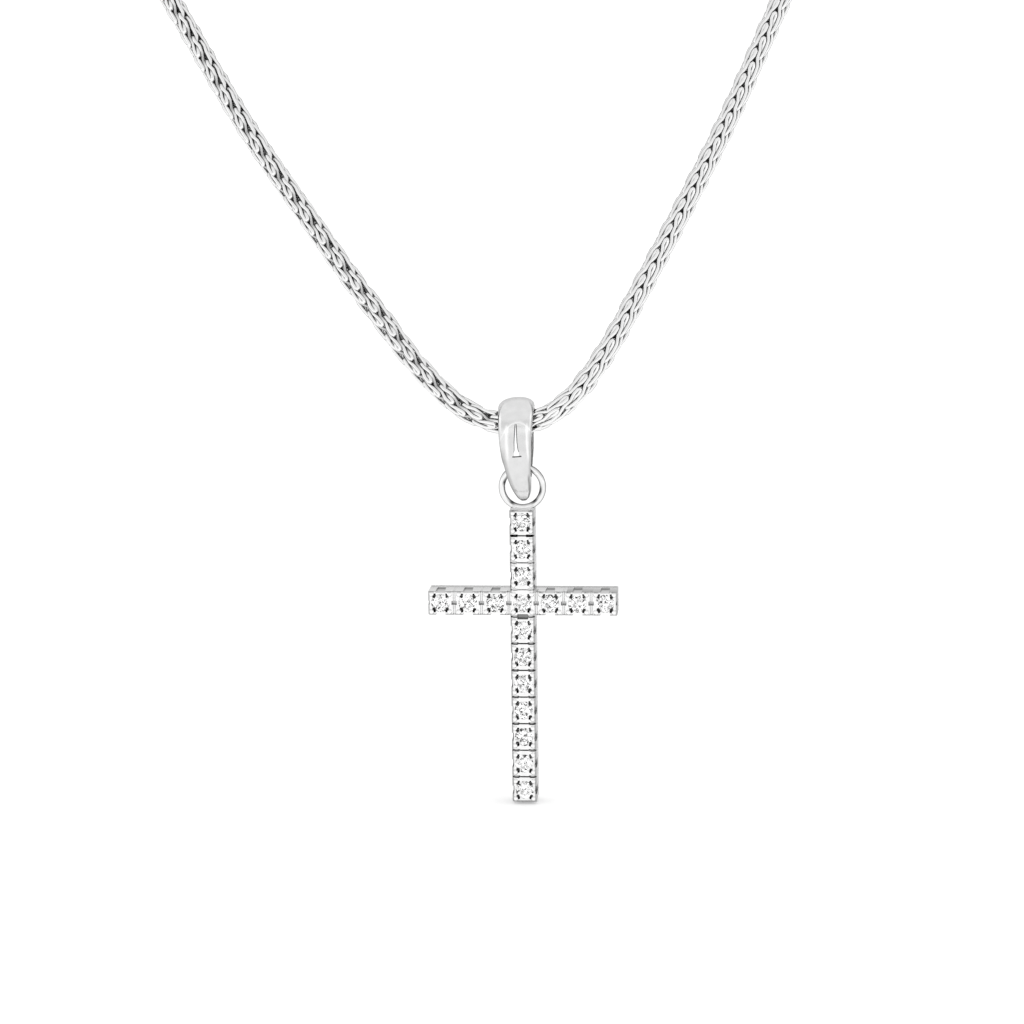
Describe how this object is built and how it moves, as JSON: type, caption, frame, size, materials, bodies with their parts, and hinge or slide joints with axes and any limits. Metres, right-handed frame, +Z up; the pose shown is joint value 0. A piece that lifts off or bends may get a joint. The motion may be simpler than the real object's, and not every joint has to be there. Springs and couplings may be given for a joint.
{
  "type": "cross pendant on its chain",
  "caption": "Small Latin cross of square collets set with round brilliants, hung by a ring and a tapered folded bail on a fine wheat chain.",
  "frame": {"origin": "the nape, at the middle of the catch, where the chain hangs on a neck", "axes": "+Z up, the front of the cross faces -Y, +X to the right as seen from the front"},
  "size_m": [0.1172, 0.131, 0.129],
  "materials": {
    "white_metal": "polished white gold",
    "brilliant": "clear, faceted, colourless"
  },
  "bodies": {
    "necklace": {"chain": "white_metal", "end_cap_left": "white_metal", "end_cap_right": "white_metal", "clasp": "white_metal"},
    "bail": {"bail": "white_metal"},
    "cross": {"cross": "white_metal", "stone_v1": "brilliant", "stone_v2": "brilliant", "stone_v3": "brilliant", "stone_v4": "brilliant", "stone_v5": "brilliant", "stone_v6": "brilliant", "stone_v7": "brilliant", "stone_v8": "brilliant", "stone_v9": "brilliant", "stone_v10": "brilliant", "stone_v11": "brilliant", "stone_h1": "brilliant", "stone_h2": "brilliant", "stone_h3": "brilliant", "stone_h4": "brilliant", "stone_h5": "brilliant", "stone_h6": "brilliant"}
  },
  "joints": [
    {"name": "bail_swing", "type": "hinge", "parent": "necklace", "child": "bail", "pos_m": [0.006, -0.128, -0.107], "axis": [0.9973, 0, 0.0732], "range_deg": [-60, 60]},
    {"name": "cross_swing", "type": "hinge", "parent": "bail", "child": "cross", "pos_m": [0.00617, -0.128, -0.10935], "axis": [1, 0, 0], "range_deg": [-75, 75]}
  ]
}
